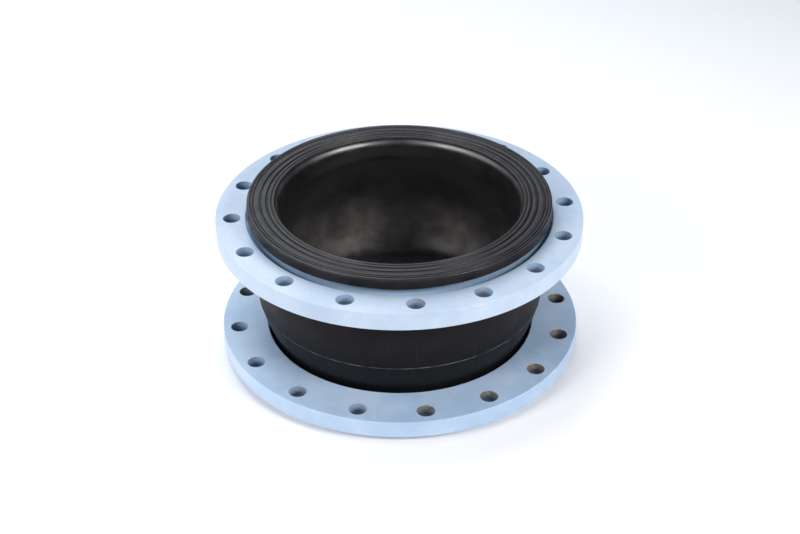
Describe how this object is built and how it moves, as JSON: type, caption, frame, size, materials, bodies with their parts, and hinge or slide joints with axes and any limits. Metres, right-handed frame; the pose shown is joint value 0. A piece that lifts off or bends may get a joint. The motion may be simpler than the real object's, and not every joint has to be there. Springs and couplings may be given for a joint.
{
  "type": "rubber expansion joint",
  "caption": "Single-arch rubber expansion joint for pipework: a black moulded rubber body with beaded sealing faces between two loose, drilled steel flanges.",
  "frame": {"origin": "centre of the lower sealing face, which the joint stands on", "axes": "+Z along the pipe's axis, from the lower sealing face to the upper one; the joint bends and offsets in the XZ plane"},
  "size_m": [0.565, 0.565, 0.255],
  "materials": {
    "flange_paint": "semi-gloss",
    "cover_rubber": "satin, moulded",
    "face_rubber": "satin, fine turned grooves",
    "tube_rubber": "smooth",
    "nylon_cord": "rubberised cord",
    "filler_rubber": "matt",
    "bead_steel": "brass-coated wire"
  },
  "bodies": {
    "lower_end": {"lower_sealing_collar": "face_rubber", "lower_bead_filler": "filler_rubber", "lower_bead_wire_1": "bead_steel", "lower_bead_wire_2": "bead_steel", "lower_bead_wire_3": "bead_steel", "lower_bead_wire_4": "bead_steel"},
    "wall_inside": {"inner_tube": "tube_rubber", "cord_ply_1": "nylon_cord", "cord_ply_2": "nylon_cord"},
    "wall_outside": {"cord_ply_3": "nylon_cord", "cord_ply_4": "nylon_cord", "outer_cover": "cover_rubber"},
    "upper_end": {"upper_sealing_collar": "face_rubber", "upper_bead_filler": "filler_rubber", "upper_bead_wire_1": "bead_steel", "upper_bead_wire_2": "bead_steel", "upper_bead_wire_3": "bead_steel", "upper_bead_wire_4": "bead_steel"},
    "lower_flange": {"lower_flange": "flange_paint"},
    "upper_flange": {"upper_flange": "flange_paint"}
  },
  "joints": [
    {"name": "angular_deflection", "type": "hinge", "parent": "lower_end", "child": "wall_inside", "pos_m": [0, 0, 0.1275], "axis": [0, 1, 0], "range_deg": [-5, 5], "stiffness_Nm_per_rad": 1150, "deforming": ["inner_tube", "cord_ply_1", "cord_ply_2"]},
    {"name": "lateral_offset", "type": "slide", "parent": "wall_inside", "child": "wall_outside", "axis": [1, 0, 0], "range_m": [-0.022, 0.022], "stiffness_N_per_m": 150000, "deforming": ["cord_ply_3"]},
    {"name": "axial_stroke", "type": "slide", "parent": "wall_outside", "child": "upper_end", "axis": [0, 0, 1], "range_m": [-0.025, 0.016], "stiffness_N_per_m": 300000, "deforming": ["cord_ply_4", "outer_cover"]},
    {"name": "lower_flange_swivel", "type": "hinge", "parent": "lower_end", "child": "lower_flange", "pos_m": [0, 0, 0.024], "axis": [0, 0, 1], "continuous": true},
    {"name": "upper_flange_swivel", "type": "hinge", "parent": "upper_end", "child": "upper_flange", "pos_m": [0, 0, 0.216], "axis": [0, 0, 1], "continuous": true}
  ]
}
